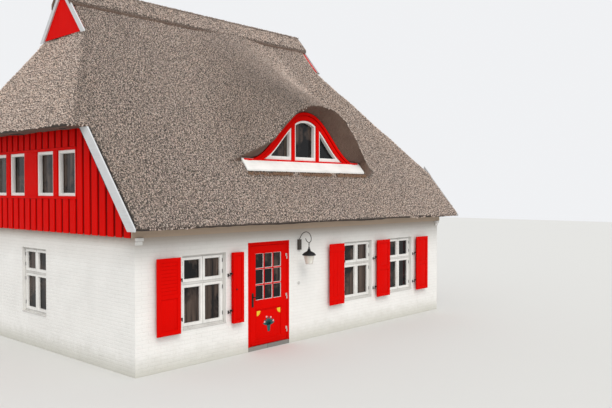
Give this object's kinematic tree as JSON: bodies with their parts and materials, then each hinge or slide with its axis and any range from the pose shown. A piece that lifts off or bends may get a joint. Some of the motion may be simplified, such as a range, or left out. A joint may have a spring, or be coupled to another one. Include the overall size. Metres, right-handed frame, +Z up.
{
  "type": "thatched cottage",
  "caption": "One-and-a-half-storey cottage of white painted brick under a reed roof with half-hips and an eyebrow dormer; hinged red front door and shutters.",
  "frame": {"origin": "on the ground under the middle of the roof's plan, which is the middle of the part's bounding box", "axes": "+X along the front to the right, -Y out of the front door, +Z up"},
  "size_m": [10.18, 8, 7.3],
  "materials": {
    "painted_brick": "matt paint on brick",
    "red_painted_wood": "satin paint",
    "white_painted_wood": "satin paint",
    "reed_thatch": "weathered reed ends",
    "floorboards": "waxed boards",
    "stone_floor": "honed stone",
    "black_iron": "black lacquer",
    "window_glass": "clear"
  },
  "bodies": {
    "house": {"front_wall_left": "painted_brick", "front_wall_right": "painted_brick", "front_wall_over_door": "painted_brick", "back_wall": "painted_brick", "left_gable_wall": "painted_brick", "right_gable_wall": "painted_brick", "ground_floor": "stone_floor", "upper_floor": "floorboards", "left_gable_boarding": "red_painted_wood", "right_gable_boarding": "red_painted_wood", "left_gable_window": "white_painted_wood", "left_gable_window_glass": "window_glass", "right_gable_window": "white_painted_wood", "right_gable_window_glass": "window_glass", "thatch_front": "reed_thatch", "thatch_back": "reed_thatch", "thatch_left_half_hip": "reed_thatch", "thatch_right_half_hip": "reed_thatch", "dormer_hood": "reed_thatch", "ridge_cap": "reed_thatch", "left_gablet_boards": "red_painted_wood", "left_gablet_barge": "white_painted_wood", "right_gablet_boards": "red_painted_wood", "right_gablet_barge": "white_painted_wood", "left_front_barge_board": "white_painted_wood", "left_back_barge_board": "white_painted_wood", "right_front_barge_board": "white_painted_wood", "right_back_barge_board": "white_painted_wood", "dormer_window": "red_painted_wood", "dormer_glass": "window_glass", "dormer_apron": "white_painted_wood", "front_window_1": "white_painted_wood", "front_window_1_glass": "window_glass", "front_window_2": "white_painted_wood", "front_window_2_glass": "window_glass", "front_window_3": "white_painted_wood", "front_window_3_glass": "window_glass", "back_window_1": "white_painted_wood", "back_window_1_glass": "window_glass", "back_window_2": "white_painted_wood", "back_window_2_glass": "window_glass", "left_gable_lower_window": "white_painted_wood", "left_gable_lower_window_glass": "window_glass", "right_gable_lower_window": "white_painted_wood", "right_gable_lower_window_glass": "window_glass", "shutter_1_right_folded": "red_painted_wood", "door_frame": "red_painted_wood", "lantern_bracket": "black_iron", "lantern_cage": "black_iron", "lantern_glass": "window_glass"},
    "front_door": {"door_leaf": "red_painted_wood", "door_glass": "window_glass", "door_handle": "black_iron"},
    "shutter_1_left": {"shutter_1_left": "red_painted_wood"},
    "shutter_2_left": {"shutter_2_left": "red_painted_wood"},
    "shutter_2_right": {"shutter_2_right": "red_painted_wood"},
    "shutter_3_right": {"shutter_3_right": "red_painted_wood"}
  },
  "joints": [
    {"name": "front_door_hinge", "type": "hinge", "parent": "house", "child": "front_door", "pos_m": [-0.958, -3.4995, 0], "axis": [0, 0, 1], "range_deg": [0, 100]},
    {"name": "shutter_1_left_hinge", "type": "hinge", "parent": "house", "child": "shutter_1_left", "pos_m": [-3.6, -3.56, 0], "axis": [0, 0, 1], "range_deg": [0, 180]},
    {"name": "shutter_2_left_hinge", "type": "hinge", "parent": "house", "child": "shutter_2_left", "pos_m": [0.81, -3.56, 0], "axis": [0, 0, 1], "range_deg": [0, 180]},
    {"name": "shutter_2_right_hinge", "type": "hinge", "parent": "house", "child": "shutter_2_right", "pos_m": [1.9, -3.56, 0], "axis": [0, 0, -1], "range_deg": [0, 180]},
    {"name": "shutter_3_right_hinge", "type": "hinge", "parent": "house", "child": "shutter_3_right", "pos_m": [3.52, -3.56, 0], "axis": [0, 0, -1], "range_deg": [0, 180]}
  ]
}
